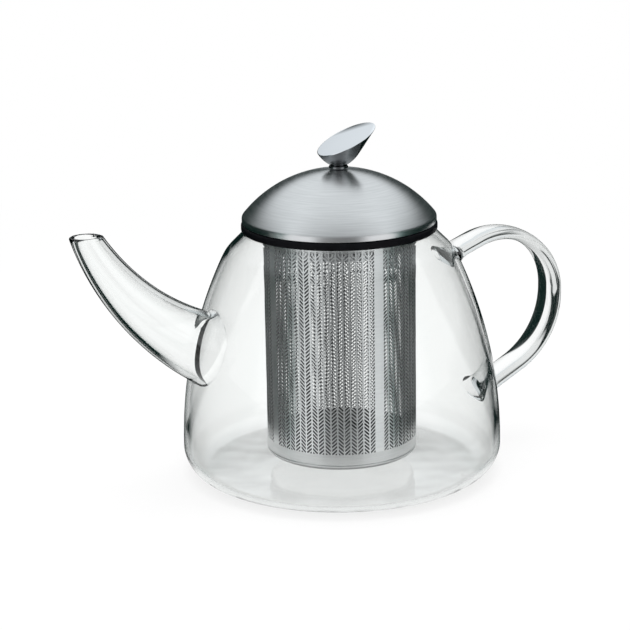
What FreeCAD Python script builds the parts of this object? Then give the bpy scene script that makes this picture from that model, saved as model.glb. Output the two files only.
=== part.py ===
"""Glass teapot with a steel infuser and a domed lid, in millimetres.

The frame: +Z is up, the pot's axis is the Z axis and it stands on z = 0.
The spout points to -X and the handle to +X.
"""
import FreeCAD, Part
import Sketcher
import math
import os
from types import SimpleNamespace

DIMENSIONS = {
    # glass pot
    "pot_radius": 72.5,
    "glass_wall": 2.2,
    "corner_radius": 12.5,
    "foot_inner_radius": 42.0,
    "base_push_up": 2.0,
    "side_start": 13.2,
    "side_radius": 200.0,
    "side_angle": 25.5,
    "shoulder_radius": 20.0,
    "shoulder_angle": 56.0,
    "neck_fillet": 5.0,
    "neck_straight": 0.2,
    # spout
    "spout_root_x": 64.9,
    "spout_root_z": 65.8,
    "spout_bend": 120.4,
    "spout_root_angle": 27.0,
    "spout_tip_angle": 62.0,
    "spout_overrun": 9.0,
    "spout_wall": 1.9,
    "spout_rim_height": 121.4,
    "spout_root_diameter": 34.0,
    "spout_diameter_1": 32.5,
    "spout_diameter_2": 29.3,
    "spout_diameter_3": 25.5,
    "spout_diameter_4": 20.9,
    "spout_diameter_5": 17.1,
    "spout_tip_diameter": 14.3,
    "spout_end_diameter": 13.0,
    # handle
    "strap_width": 17.5,
    "strap_thickness": 4.6,
    "handle_reach": 109.4,
    "handle_top": 101.4,
    "handle_bend": 29.4,
    "lead_radius": 32.0,
    "lead_angle": 22.0,
    "lead_length": 17.0,
    "handle_drop": 1.7,
    "lower_bend": 38.0,
    "lower_turn": 61.0,
    "tail_length": 25.0,
    "weld_spread": 2.6,
    "weld_end_spread": 0.13,
    "weld_depth": 9.0,
    # infuser
    "sleeve_radius": 34.1,
    "basket_sheet": 0.5,
    "basket_bottom": 9.2,
    "basket_corner": 2.0,
    "sleeve_bottom": 11.6,
    "cap_rim_top": 15.0,
    "collar_depth": 2.6,
    "flange_radius": 43.0,
    "flange_sheet": 0.6,
    "seat_gap": 0.2,
    # lid
    "seal_radius": 44.0,
    "seal_inner_radius": 32.7,
    "seal_lip": 0.8,
    "seal_lip_bottom": 112.9,
    "seal_top": 116.3,
    "seal_round": 0.5,
    "dome_edge_radius": 43.6,
    "dome_base": 116.5,
    "dome_top": 139.2,
    "dome_ball": 55.7,
    "dome_edge_round": 2.0,
    "dome_sheet": 0.8,
    "skirt_radius": 32.4,
    "skirt_bottom": 104.0,
    "skirt_sheet": 0.6,
    # knob and its screw
    "bead_radius": 4.35,
    "bead_edge": 0.85,
    "bead_height": 1.7,
    "knob_neck_radius": 3.5,
    "bowl_radius": 15.6,
    "bowl_width": 9.2,
    "bowl_height": 5.2,
    "knob_slope": 33.3,
    "knob_blank_height": 20.0,
    "cut_low_radius": 9.2,
    "cut_low_height": 5.3,
    "cut_angle": 24.6,
    "screw_radius": 1.5,
    "screw_clearance": 0.1,
    "screw_grip": 5.0,
    "screw_head_radius": 3.0,
    "screw_head_height": 2.0,
    "washer_radius": 4.5,
    "washer_thickness": 0.8,
}


class Size:
    """A number together with the formula that binds it to the sheet."""

    def __init__(self, number, formula):
        self.number = number
        self.formula = formula

    def __add__(self, other):
        other = as_size(other)
        return Size(self.number + other.number, f"({self.formula} + {other.formula})")

    def __sub__(self, other):
        other = as_size(other)
        return Size(self.number - other.number, f"({self.formula} - {other.formula})")

    def __mul__(self, other):
        other = as_size(other)
        return Size(self.number * other.number, f"({self.formula} * {other.formula})")

    def __truediv__(self, other):
        other = as_size(other)
        return Size(self.number / other.number, f"({self.formula} / {other.formula})")

    def __neg__(self):
        return Size(-self.number, f"(-1 * {self.formula})")


def as_size(value):
    return value if isinstance(value, Size) else Size(float(value), repr(float(value)))


def root(size):
    return Size(math.sqrt(size.number), f"sqrt({size.formula})")


def sine(angle):
    return Size(math.sin(math.radians(angle.number)), f"sin({angle.formula} * 1 deg)")


def cosine(angle):
    return Size(math.cos(math.radians(angle.number)), f"cos({angle.formula} * 1 deg)")


def tangent(angle):
    return sine(angle) / cosine(angle)


ZERO = as_size(0)
ONE = as_size(1)
RIGHT_ANGLE = as_size(90)
NEAR = 1e-3  # two places or sizes closer than this, in millimetres, count as one
doc = FreeCAD.newDocument("teapot")
sheet = doc.addObject("Spreadsheet::Sheet", "Dimensions")
for row, (alias, value) in enumerate(DIMENSIONS.items(), start=1):
    sheet.set(f"A{row}", alias)
    sheet.set(f"B{row}", str(value))
    sheet.setAlias(f"B{row}", alias)
doc.recompute()
dims = SimpleNamespace(**{alias: Size(value, f"Dimensions.{alias}") for alias, value in DIMENSIONS.items()})


# Bodies, sketches and features

def new_body(label):
    body = doc.addObject("PartDesign::Body", label)
    body.Label = label
    return body


def origin_plane(body, role):
    return next(item for item in body.Origin.OriginFeatures if item.Role == role)


def new_sketch(body, name, role="XZ_Plane"):
    sketch = body.newObject("Sketcher::SketchObject", f"{body.Name}_{name}")
    sketch.AttachmentSupport = [(origin_plane(body, role), "")]
    sketch.MapMode = "FlatFace"
    return sketch


def tilt(sketch, x, z, side, angle):
    """Move a sketch from the XY plane to (x, 0, z) and lean it about the Y axis."""
    axis = FreeCAD.Vector(0, side, 0)
    base = FreeCAD.Vector(x.number, 0, z.number)
    sketch.AttachmentOffset = FreeCAD.Placement(base, FreeCAD.Rotation(axis, angle.number))
    sketch.setExpression("AttachmentOffset.Base.x", x.formula)
    sketch.setExpression("AttachmentOffset.Base.z", z.formula)
    sketch.setExpression("AttachmentOffset.Rotation.Angle", angle.formula)


def bind(sketch, kind, targets, size, name):
    sketch.addConstraint(Sketcher.Constraint(kind, *targets, size.number))
    sketch.renameConstraint(sketch.ConstraintCount - 1, name)
    sketch.setExpression(f"Constraints.{name}", size.formula)


def arc_middle(start, end, radius, side):
    """The middle of the short arc between two points; side 1 bulges to the right of the way."""
    chord = end - start
    half = chord.Length / 2
    bulge = radius - math.sqrt(max(radius * radius - half * half, 0.0))
    right = FreeCAD.Vector(chord.y, -chord.x, 0).normalize()
    return (start + end) * 0.5 + right * (side * bulge)


def end_number(sketch, index, point):
    """1 or 2: the end of this line or arc that lies on the point."""
    first = sketch.getPoint(index, 1).distanceToPoint(point)
    second = sketch.getPoint(index, 2).distanceToPoint(point)
    return 1 if first <= second else 2


def draw(sketch, corners, closed=True):
    """Lines and arcs through (x, y) corners. A third item (radius, side) makes the next stretch an arc."""
    points = [FreeCAD.Vector(corner[0].number, corner[1].number, 0) for corner in corners]
    count = len(corners) if closed else len(corners) - 1
    for index in range(count):
        start = points[index]
        end = points[(index + 1) % len(points)]
        if len(corners[index]) == 3:
            radius, side = corners[index][2]
            edge = Part.Arc(start, arc_middle(start, end, radius.number, side), end)
        else:
            edge = Part.LineSegment(start, end)
        sketch.addGeometry(edge)
    for index, corner in enumerate(corners):
        piece = min(index, count - 1)
        here = (piece, end_number(sketch, piece, points[index]))
        for axis, kind, size in ((-2, "DistanceX", corner[0]), (-1, "DistanceY", corner[1])):
            if abs(size.number) < NEAR:
                sketch.addConstraint(Sketcher.Constraint("PointOnObject", *here, axis))
            else:
                bind(sketch, kind, (-1, 1) + here, size, f"{kind}_{index}")
        if closed or 0 < index < count:
            before = (index - 1) % count
            there = (before, end_number(sketch, before, points[index]))
            sketch.addConstraint(Sketcher.Constraint("Coincident", *here, *there))
        if len(corner) == 3:
            bind(sketch, "Radius", (index,), corner[2][0], f"Radius_{index}")


def circle(sketch, diameter):
    sketch.addGeometry(Part.Circle(FreeCAD.Vector(0, 0, 0), FreeCAD.Vector(0, 0, 1), diameter.number / 2))
    sketch.addConstraint(Sketcher.Constraint("Coincident", 0, 3, -1, 1))
    bind(sketch, "Diameter", (0,), diameter, "Across")


def revolve(body, corners, name="profile", kind="Revolution"):
    sketch = new_sketch(body, name)
    draw(sketch, corners)
    feature = body.newObject(f"PartDesign::{kind}", f"{body.Name}_{name}_{kind}")
    feature.Profile = (sketch, [""])
    feature.ReferenceAxis = (sketch, ["V_Axis"])
    feature.Angle = 360
    doc.recompute()
    return feature


def loft(body, sketches, kind):
    feature = body.newObject(f"PartDesign::{kind}", f"{body.Name}_{kind}")
    feature.Profile = (sketches[0], [""])
    feature.Sections = [(sketch, [""]) for sketch in sketches[1:]]
    doc.recompute()


def cut_across(body, corners, name):
    """Remove the outlined area of the XZ plane, right through the body in Y."""
    before = body.Shape.Volume
    sketch = new_sketch(body, name)
    draw(sketch, corners)
    feature = body.newObject("PartDesign::Pocket", f"{body.Name}_{name}_Pocket")
    feature.Profile = (sketch, [""])
    feature.Type = "ThroughAll"
    feature.Midplane = True
    doc.recompute()
    must_shrink(body, before)


def must_shrink(body, before):
    if body.Shape.Volume > before - NEAR:
        raise RuntimeError(f"{body.Label}: a cut took nothing away")


def trim_to_pot(body):
    """Cut off what reaches through the pot's outer face, so that the two meet on it."""
    before = body.Shape.Volume
    corners = pot_outer_corners()
    corners[-1] = corners[-1][:2]
    revolve(body, [(ZERO, ZERO)] + corners + [(ZERO, corners[-1][1])], "pot_outside", "Groove")
    must_shrink(body, before)


def fillet(body, base, edges, radius):
    feature = body.newObject("PartDesign::Fillet", f"{body.Name}_Fillet")
    feature.Base = (base, edges)
    feature.Radius = radius.number
    feature.setExpression("Radius", radius.formula)
    doc.recompute()


def edges_on_circle(body, radius, height):
    """Names of the full-circle edges about the Z axis at this radius and height."""
    names = []
    for index, edge in enumerate(body.Shape.Edges, start=1):
        curve = edge.Curve
        if not isinstance(curve, Part.Circle):
            continue
        on_axis = math.hypot(curve.Center.x, curve.Center.y) < NEAR
        if on_axis and abs(curve.Radius - radius) < NEAR and abs(curve.Center.z - height) < NEAR:
            names.append(f"Edge{index}")
    return names


# The pot's outline, from the foot to the neck

side_centre = (dims.pot_radius - dims.side_radius, dims.side_start)
corner_centre = (dims.pot_radius - dims.corner_radius, dims.corner_radius)
shoulder_centre = (
    side_centre[0] + (dims.side_radius - dims.shoulder_radius) * cosine(dims.side_angle),
    side_centre[1] + (dims.side_radius - dims.shoulder_radius) * sine(dims.side_angle),
)
neck_centre = (
    shoulder_centre[0] + (dims.shoulder_radius + dims.neck_fillet) * cosine(dims.shoulder_angle),
    shoulder_centre[1] + (dims.shoulder_radius + dims.neck_fillet) * sine(dims.shoulder_angle),
)
neck_radius = neck_centre[0] - dims.neck_fillet
neck_top = neck_centre[1] + dims.neck_straight
rim_radius = neck_radius - dims.glass_wall / 2
rim_top = neck_top + dims.glass_wall / 2


def pot_wall_corners(inset):
    """The wall's outline from the foot up to the neck, this far inside the outer face."""
    side = dims.side_radius - inset
    shoulder = dims.shoulder_radius - inset
    corner = dims.corner_radius - inset
    neck = dims.neck_fillet + inset
    side_end = (
        side_centre[0] + side * cosine(dims.side_angle),
        side_centre[1] + side * sine(dims.side_angle),
    )
    shoulder_end = (
        shoulder_centre[0] + shoulder * cosine(dims.shoulder_angle),
        shoulder_centre[1] + shoulder * sine(dims.shoulder_angle),
    )
    return [
        (corner_centre[0], inset, (corner, 1)),
        (dims.pot_radius - inset, corner_centre[1]),
        (dims.pot_radius - inset, dims.side_start, (side, 1)),
        side_end + ((shoulder, 1),),
        shoulder_end + ((neck, -1),),
        (neck_radius - inset, neck_centre[1]),
    ]


def pot_outer_corners():
    return pot_wall_corners(ZERO)[:-1]


def reversed_corners(corners):
    """The same outline walked the other way."""
    turned = []
    for index in range(len(corners) - 1, -1, -1):
        corner = corners[index][:2]
        if index > 0 and len(corners[index - 1]) == 3:
            radius, side = corners[index - 1][2]
            corner = corner + ((radius, -side),)
        turned.append(corner)
    return turned


def make_glass_base():
    """The pot's base, up to where its rounded corner runs into the side."""
    body = new_body("glass_base")
    wall = dims.glass_wall
    push = dims.base_push_up
    foot = dims.foot_inner_radius
    crown = (foot * foot + push * push) / (push * 2)
    corners = [(ZERO, push, (crown, -1)), (foot, ZERO)]
    corners += pot_wall_corners(ZERO)[:2]
    corners += reversed_corners(pot_wall_corners(wall)[:2])
    corners += [(foot, wall, (crown, 1)), (ZERO, push + wall)]
    revolve(body, corners)
    return body


def make_glass_body():
    """The pot's side, shoulder and neck, with the hole for the spout."""
    body = new_body("glass_body")
    wall = dims.glass_wall
    rim_round = wall / 2
    corners = pot_wall_corners(ZERO)[1:]
    corners += [
        (neck_radius, neck_top, (rim_round, 1)),
        (rim_radius, rim_top, (rim_round, 1)),
        (neck_radius - wall, neck_top),
    ]
    corners += reversed_corners(pot_wall_corners(wall)[1:])
    revolve(body, corners)
    before = body.Shape.Volume
    hole = new_sketch(body, "spout_hole", "XY_Plane")
    place_spout_section(hole, spout_stations()[0])
    circle(hole, dims.spout_diameter_1 - dims.spout_wall * 2)
    pocket = body.newObject("PartDesign::Pocket", "glass_body_spout_hole_Pocket")
    pocket.Profile = (hole, [""])
    pocket.Type = "Length"
    pocket.Reversed = True
    pocket.Length = dims.spout_root_diameter.number
    pocket.setExpression("Length", dims.spout_root_diameter.formula)
    doc.recompute()
    must_shrink(body, before)
    return body


# Spout: a tapering tube along an arc, cut level at the rim

def spout_point(angle, run):
    """A place on the spout's centre line: up the bend to this angle, then straight on by this run."""
    first = dims.spout_root_angle
    x = dims.spout_root_x + dims.spout_bend * (sine(angle) - sine(first)) + run * cosine(angle)
    z = dims.spout_root_z + dims.spout_bend * (cosine(first) - cosine(angle)) + run * sine(angle)
    return x, z


def spout_stations():
    """(x, z, angle, outer diameter) of each section, from inside the pot to past the rim."""
    bend_diameters = [
        dims.spout_diameter_1,
        dims.spout_diameter_2,
        dims.spout_diameter_3,
        dims.spout_diameter_4,
        dims.spout_diameter_5,
        dims.spout_tip_diameter,
    ]
    first = dims.spout_root_angle
    last = dims.spout_tip_angle
    step = (last - first) / (len(bend_diameters) - 1)
    stations = [spout_point(first, -dims.spout_overrun) + (first, dims.spout_root_diameter)]
    for index, diameter in enumerate(bend_diameters):
        angle = first + step * index
        stations.append(spout_point(angle, ZERO) + (angle, diameter))
    stations.append(spout_point(last, dims.spout_overrun) + (last, dims.spout_end_diameter))
    return stations


def place_spout_section(sketch, station):
    x, z, angle = station[:3]
    tilt(sketch, -x, z, -1, RIGHT_ANGLE - angle)


def make_spout():
    body = new_body("spout")
    for kind, inset in (("AdditiveLoft", ZERO), ("SubtractiveLoft", dims.spout_wall)):
        before = body.Shape.Volume if inset.number else math.inf
        sections = []
        for index, station in enumerate(spout_stations()):
            sketch = new_sketch(body, f"{kind}_{index}", "XY_Plane")
            place_spout_section(sketch, station)
            circle(sketch, station[3] - inset * 2)
            sections.append(sketch)
        loft(body, sections, kind)
        must_shrink(body, before)
    rim = dims.spout_rim_height
    above = rim + dims.pot_radius
    near_x = -dims.pot_radius
    far_x = -(spout_stations()[-1][0] + dims.spout_tip_diameter)
    cut_across(body, [(near_x, rim), (far_x, rim), (far_x, above), (near_x, above)], "rim")
    trim_to_pot(body)
    return body


# Handle: a flat strap that leaves the shoulder, turns down and comes back to the side

def handle_route():
    """The strap's centre line as sketch corners, from the upper root to the lower one."""
    top_x = dims.handle_reach - dims.handle_bend
    lead_x = top_x - dims.lead_radius * sine(dims.lead_angle)
    lead_z = dims.handle_top - dims.lead_radius * (ONE - cosine(dims.lead_angle))
    drop_top = dims.handle_top - dims.handle_bend
    drop_end = drop_top - dims.handle_drop
    tail_x = dims.handle_reach - dims.lower_bend * (ONE - cosine(dims.lower_turn))
    tail_z = drop_end - dims.lower_bend * sine(dims.lower_turn)
    lead = dims.lead_length
    tail = dims.tail_length
    return [
        (lead_x - lead * cosine(dims.lead_angle), lead_z - lead * sine(dims.lead_angle)),
        (lead_x, lead_z, (dims.lead_radius, -1)),
        (top_x, dims.handle_top, (dims.handle_bend, -1)),
        (dims.handle_reach, drop_top),
        (dims.handle_reach, drop_end, (dims.lower_bend, -1)),
        (tail_x, tail_z),
        (tail_x - tail * sine(dims.lower_turn), tail_z - tail * cosine(dims.lower_turn)),
    ]


def strap_section(sketch, spread):
    """The strap's flat section with full-round edges, thickened all round by the spread."""
    half = dims.strap_thickness / 2 + spread
    flat = (dims.strap_width - dims.strap_thickness) / 2
    draw(sketch, [
        (half, -flat),
        (half, flat, (half, 1)),
        (ZERO, flat + half, (half, 1)),
        (-half, flat),
        (-half, -flat, (half, 1)),
        (ZERO, -(flat + half), (half, 1)),
    ])


def add_weld(body, name, inner, outer, lean):
    """Thicken the strap towards its root, where it is melted onto the pot."""
    across = outer[0] - inner[0]
    up = outer[1] - inner[1]
    share = dims.weld_depth / root(across * across + up * up)
    wide = new_sketch(body, f"{name}_weld_wide", "XY_Plane")
    tilt(wide, *inner, 1, lean)
    strap_section(wide, dims.weld_spread)
    narrow = new_sketch(body, f"{name}_weld_narrow", "XY_Plane")
    tilt(narrow, inner[0] + across * share, inner[1] + up * share, 1, lean)
    strap_section(narrow, dims.weld_end_spread)
    loft(body, [wide, narrow], "AdditiveLoft")


def make_handle():
    body = new_body("handle")
    route = handle_route()
    path = new_sketch(body, "path")
    draw(path, route, closed=False)
    section = new_sketch(body, "section", "XY_Plane")
    lead_lean = RIGHT_ANGLE - dims.lead_angle
    tilt(section, *route[0], 1, lead_lean)
    strap_section(section, ZERO)
    doc.recompute()
    pipe = body.newObject("PartDesign::AdditivePipe", "handle_strap")
    pipe.Profile = (section, [""])
    pipe.Spine = (path, [f"Edge{index}" for index in range(1, len(route))])
    doc.recompute()
    add_weld(body, "upper", route[0], route[1][:2], lead_lean)
    add_weld(body, "lower", route[-1], route[-2], dims.lower_turn)
    trim_to_pot(body)
    return body


# Infuser: sleeve, floor and the collar that hangs on the pot's rim

flange_bottom = rim_top + dims.seat_gap
flange_top = flange_bottom + dims.flange_sheet
sleeve_inside = dims.sleeve_radius - dims.basket_sheet


def make_basket_sleeve():
    body = new_body("basket_sleeve")
    revolve(body, [
        (sleeve_inside, dims.sleeve_bottom),
        (dims.sleeve_radius, dims.sleeve_bottom),
        (dims.sleeve_radius, flange_bottom),
        (sleeve_inside, flange_bottom),
    ])
    return body


def make_basket_floor():
    body = new_body("basket_floor")
    sheet_gauge = dims.basket_sheet
    low = dims.basket_bottom
    bend = dims.basket_corner
    inner_bend = bend - sheet_gauge
    spigot = sleeve_inside - sheet_gauge
    revolve(body, [
        (ZERO, low),
        (dims.sleeve_radius - bend, low, (bend, 1)),
        (dims.sleeve_radius, low + bend),
        (dims.sleeve_radius, dims.sleeve_bottom),
        (sleeve_inside, dims.sleeve_bottom),
        (sleeve_inside, dims.cap_rim_top),
        (spigot, dims.cap_rim_top),
        (spigot, low + bend, (inner_bend, -1)),
        (spigot - inner_bend, low + sheet_gauge),
        (ZERO, low + sheet_gauge),
    ])
    return body


def make_basket_collar():
    body = new_body("basket_collar")
    throat = sleeve_inside - dims.flange_sheet
    collar_bottom = flange_bottom - dims.collar_depth
    revolve(body, [
        (throat, collar_bottom),
        (sleeve_inside, collar_bottom),
        (sleeve_inside, flange_bottom),
        (dims.flange_radius, flange_bottom),
        (dims.flange_radius, flange_top),
        (throat, flange_top),
    ])
    return body


# Lid: seal, dome and skirt

dome_centre = dims.dome_top - dims.dome_ball
inner_dome_ball = dims.dome_ball - dims.dome_sheet
edge_round_radius = dims.dome_edge_radius - dims.dome_edge_round
edge_round_reach = dims.dome_ball - dims.dome_edge_round
edge_round_rise = root(edge_round_reach * edge_round_reach - edge_round_radius * edge_round_radius)
edge_round_height = dome_centre + edge_round_rise
screw_bore = dims.screw_radius + dims.screw_clearance


def sphere_height(ball_radius, across):
    """Height of the dome's inner or outer ball at this distance from the axis."""
    return dome_centre + root(ball_radius * ball_radius - across * across)


def dome_edge(ball_radius):
    """Where the turned-down edge runs into the ball, on its inner or outer face."""
    share = ball_radius / edge_round_reach
    return edge_round_radius * share, dome_centre + edge_round_rise * share


def make_lid_seal():
    body = new_body("lid_seal")
    lip_inside = dims.seal_radius - dims.seal_lip
    web_bottom = flange_top + dims.seat_gap
    ring = revolve(body, [
        (dims.seal_inner_radius, web_bottom),
        (lip_inside, web_bottom),
        (lip_inside, dims.seal_lip_bottom),
        (dims.seal_radius, dims.seal_lip_bottom),
        (dims.seal_radius, dims.seal_top),
        (dims.seal_inner_radius, dims.seal_top),
    ])
    edges = edges_on_circle(body, dims.seal_radius.number, dims.seal_top.number)
    fillet(body, ring, edges, dims.seal_round)
    return body


def make_lid_dome():
    body = new_body("lid_dome")
    inner_edge = dims.dome_edge_radius - dims.dome_sheet
    inner_round = dims.dome_edge_round - dims.dome_sheet
    revolve(body, [
        (inner_edge, dims.dome_base),
        (dims.dome_edge_radius, dims.dome_base),
        (dims.dome_edge_radius, edge_round_height, (dims.dome_edge_round, 1)),
        dome_edge(dims.dome_ball) + ((dims.dome_ball, 1),),
        (screw_bore, sphere_height(dims.dome_ball, screw_bore)),
        (screw_bore, sphere_height(inner_dome_ball, screw_bore), (inner_dome_ball, -1)),
        dome_edge(inner_dome_ball) + ((inner_round, -1),),
        (inner_edge, edge_round_height),
    ])
    return body


def make_lid_skirt():
    body = new_body("lid_skirt")
    inside = dims.skirt_radius - dims.skirt_sheet
    flange_edge = dims.dome_edge_radius - dims.dome_sheet
    revolve(body, [
        (inside, dims.skirt_bottom),
        (dims.skirt_radius, dims.skirt_bottom),
        (dims.skirt_radius, dims.dome_base),
        (flange_edge, dims.dome_base),
        (flange_edge, dims.dome_base + dims.skirt_sheet),
        (inside, dims.dome_base + dims.skirt_sheet),
    ])
    return body


# Knob: bead, slanting cone, washer and screw

bead_top = dims.dome_top + dims.bead_height


def make_knob_collar():
    body = new_body("knob_collar")
    bulge = dims.bead_radius
    edge = dims.bead_edge
    foot = bulge - edge
    foot_height = sphere_height(dims.dome_ball, foot)
    middle = (bead_top + foot_height) / 2
    half = (bead_top - foot_height) / 2
    round_off = (half * half + edge * edge) / (edge * 2)
    revolve(body, [
        (screw_bore, sphere_height(dims.dome_ball, screw_bore), (dims.dome_ball, -1)),
        (foot, foot_height, (round_off, 1)),
        (bulge, middle, (round_off, 1)),
        (foot, bead_top),
        (screw_bore, bead_top),
    ])
    return body


def make_knob():
    body = new_body("knob")
    neck = dims.knob_neck_radius
    bowl_end = bead_top + dims.bowl_height
    blank_top = bead_top + dims.knob_blank_height
    blank_radius = dims.bowl_width + (blank_top - bowl_end) * tangent(dims.knob_slope)
    bore_end = bead_top + dims.screw_grip
    revolve(body, [
        (dims.screw_radius, bead_top),
        (neck, bead_top, (dims.bowl_radius, 1)),
        (dims.bowl_width, bowl_end),
        (blank_radius, blank_top),
        (ZERO, blank_top),
        (ZERO, bore_end),
        (dims.screw_radius, bore_end),
    ])
    side = blank_radius * 2
    low = bead_top + dims.cut_low_height
    rise = tangent(dims.cut_angle)
    above = blank_top + side
    cut_across(body, [
        (-side, low - (side - dims.cut_low_radius) * rise),
        (side, low + (side + dims.cut_low_radius) * rise),
        (side, above),
        (-side, above),
    ], "slant")
    return body


def make_knob_washer():
    body = new_body("knob_washer")
    wide = dims.washer_radius
    under = sphere_height(inner_dome_ball, wide) - dims.washer_thickness
    revolve(body, [
        (screw_bore, under),
        (wide, under),
        (wide, sphere_height(inner_dome_ball, wide), (inner_dome_ball, 1)),
        (screw_bore, sphere_height(inner_dome_ball, screw_bore)),
    ])
    return body


def make_knob_screw():
    body = new_body("knob_screw")
    shoulder = sphere_height(inner_dome_ball, dims.washer_radius) - dims.washer_thickness
    tip = bead_top + dims.screw_grip
    revolve(body, [
        (ZERO, shoulder - dims.screw_head_height),
        (dims.screw_head_radius, shoulder - dims.screw_head_height),
        (dims.screw_head_radius, shoulder),
        (dims.screw_radius, shoulder),
        (dims.screw_radius, tip),
        (ZERO, tip),
    ])
    return body


def check(sub_parts):
    for item in doc.Objects:
        if "Invalid" in item.State or "Error" in item.State:
            raise RuntimeError(f"{item.Label} failed: {item.State}")
    for body in sub_parts:
        if body.Shape.isNull() or not body.Shape.isValid() or len(body.Shape.Solids) != 1:
            raise RuntimeError(f"{body.Label} is not one valid solid")


def main():
    sub_parts = [
        make_glass_base(),
        make_glass_body(),
        make_spout(),
        make_handle(),
        make_basket_sleeve(),
        make_basket_floor(),
        make_basket_collar(),
        make_lid_seal(),
        make_lid_dome(),
        make_lid_skirt(),
        make_knob_collar(),
        make_knob(),
        make_knob_washer(),
        make_knob_screw(),
    ]
    doc.recompute()
    check(sub_parts)
    os.makedirs("parts", exist_ok=True)
    for body in sub_parts:
        body.Shape.exportStep(f"parts/{body.Label}.step")
        print(f"{body.Label}: {body.Shape.Volume:.0f} mm3")


main()
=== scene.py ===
"""Glass teapot with a perforated steel infuser and a domed steel lid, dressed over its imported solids.

Every length is in metres. +Z is up, the spout points to -X and the handle to +X.
"""
import math

import bmesh
import bpy
from bpy.props import FloatProperty, FloatVectorProperty, IntProperty, PointerProperty
from bpy.types import Operator, Panel, PropertyGroup
from mathutils import Matrix, Vector


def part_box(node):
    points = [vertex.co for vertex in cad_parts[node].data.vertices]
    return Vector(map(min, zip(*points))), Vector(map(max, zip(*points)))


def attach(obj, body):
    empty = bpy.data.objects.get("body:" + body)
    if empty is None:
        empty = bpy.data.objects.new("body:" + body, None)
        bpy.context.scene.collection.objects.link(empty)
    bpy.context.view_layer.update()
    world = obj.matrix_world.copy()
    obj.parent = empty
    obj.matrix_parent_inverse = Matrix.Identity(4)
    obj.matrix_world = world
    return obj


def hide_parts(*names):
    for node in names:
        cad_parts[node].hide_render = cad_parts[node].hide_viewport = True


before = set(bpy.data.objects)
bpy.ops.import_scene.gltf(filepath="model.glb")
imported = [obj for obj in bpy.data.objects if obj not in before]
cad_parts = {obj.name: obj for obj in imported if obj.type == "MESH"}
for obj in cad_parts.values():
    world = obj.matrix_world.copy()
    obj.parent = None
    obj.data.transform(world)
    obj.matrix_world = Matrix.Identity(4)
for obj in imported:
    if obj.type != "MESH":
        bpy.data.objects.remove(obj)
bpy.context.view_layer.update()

bl_info = {
    "name": "Glass Teapot",
    "version": (1, 0, 0),
    "blender": (4, 5, 0),
    "location": "View3D > Sidebar > Teapot",
    "description": "Builds a glass teapot with a steel infuser and a domed lid",
    "category": "Add Mesh",
}

TURN_STEPS = 192
FULL_TURN = 2 * math.pi
QUARTER_TURN = math.pi / 2
TOUCHING = 1e-6
RIM_ROUND = 0.42  # share of a wall that is rounded at each edge of a rim
GRAIN_LOW, GRAIN_HIGH = 0.3, 0.7  # range that a noise mostly keeps to
STEEL_GRAIN = 900.0
BRUSHED_LENGTH = 70.0  # fineness along the brushed lines
WALL_FACES = 2.0  # faces that light passes in one wall of glass
DEPTH_SLACK = 0.1


def length(name, description, default):
    return FloatProperty(name=name, description=description, default=default, min=0.0, precision=5, unit="LENGTH")


def angle(name, description, degrees):
    return FloatProperty(name=name, description=description, default=math.radians(degrees), subtype="ANGLE")


def number(name, description, default, unit="NONE"):
    return FloatProperty(name=name, description=description, default=default, min=0.0, unit=unit)


def share(name, description, default, low=0.0, high=1.0):
    return FloatProperty(name=name, description=description, default=default, min=low, max=high, subtype="FACTOR")


def span(name, description, start, end, unit="NONE"):
    """Where a change begins and where it ends."""
    return FloatVectorProperty(name=name, description=description, default=(start, end), size=2, precision=5,
                               unit=unit)


def stretch(name, description, start, end):
    """The lengths between which something changes."""
    return span(name, description, start, end, unit="LENGTH")


def position(name, description, *default):
    return FloatVectorProperty(name=name, description=description, default=default, size=len(default),
                               subtype="TRANSLATION", unit="LENGTH")


def colour(name, description, *default):
    return FloatVectorProperty(name=name, description=description, default=(*default, 1.0), size=4, min=0.0,
                               max=1.0, subtype="COLOR")


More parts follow.
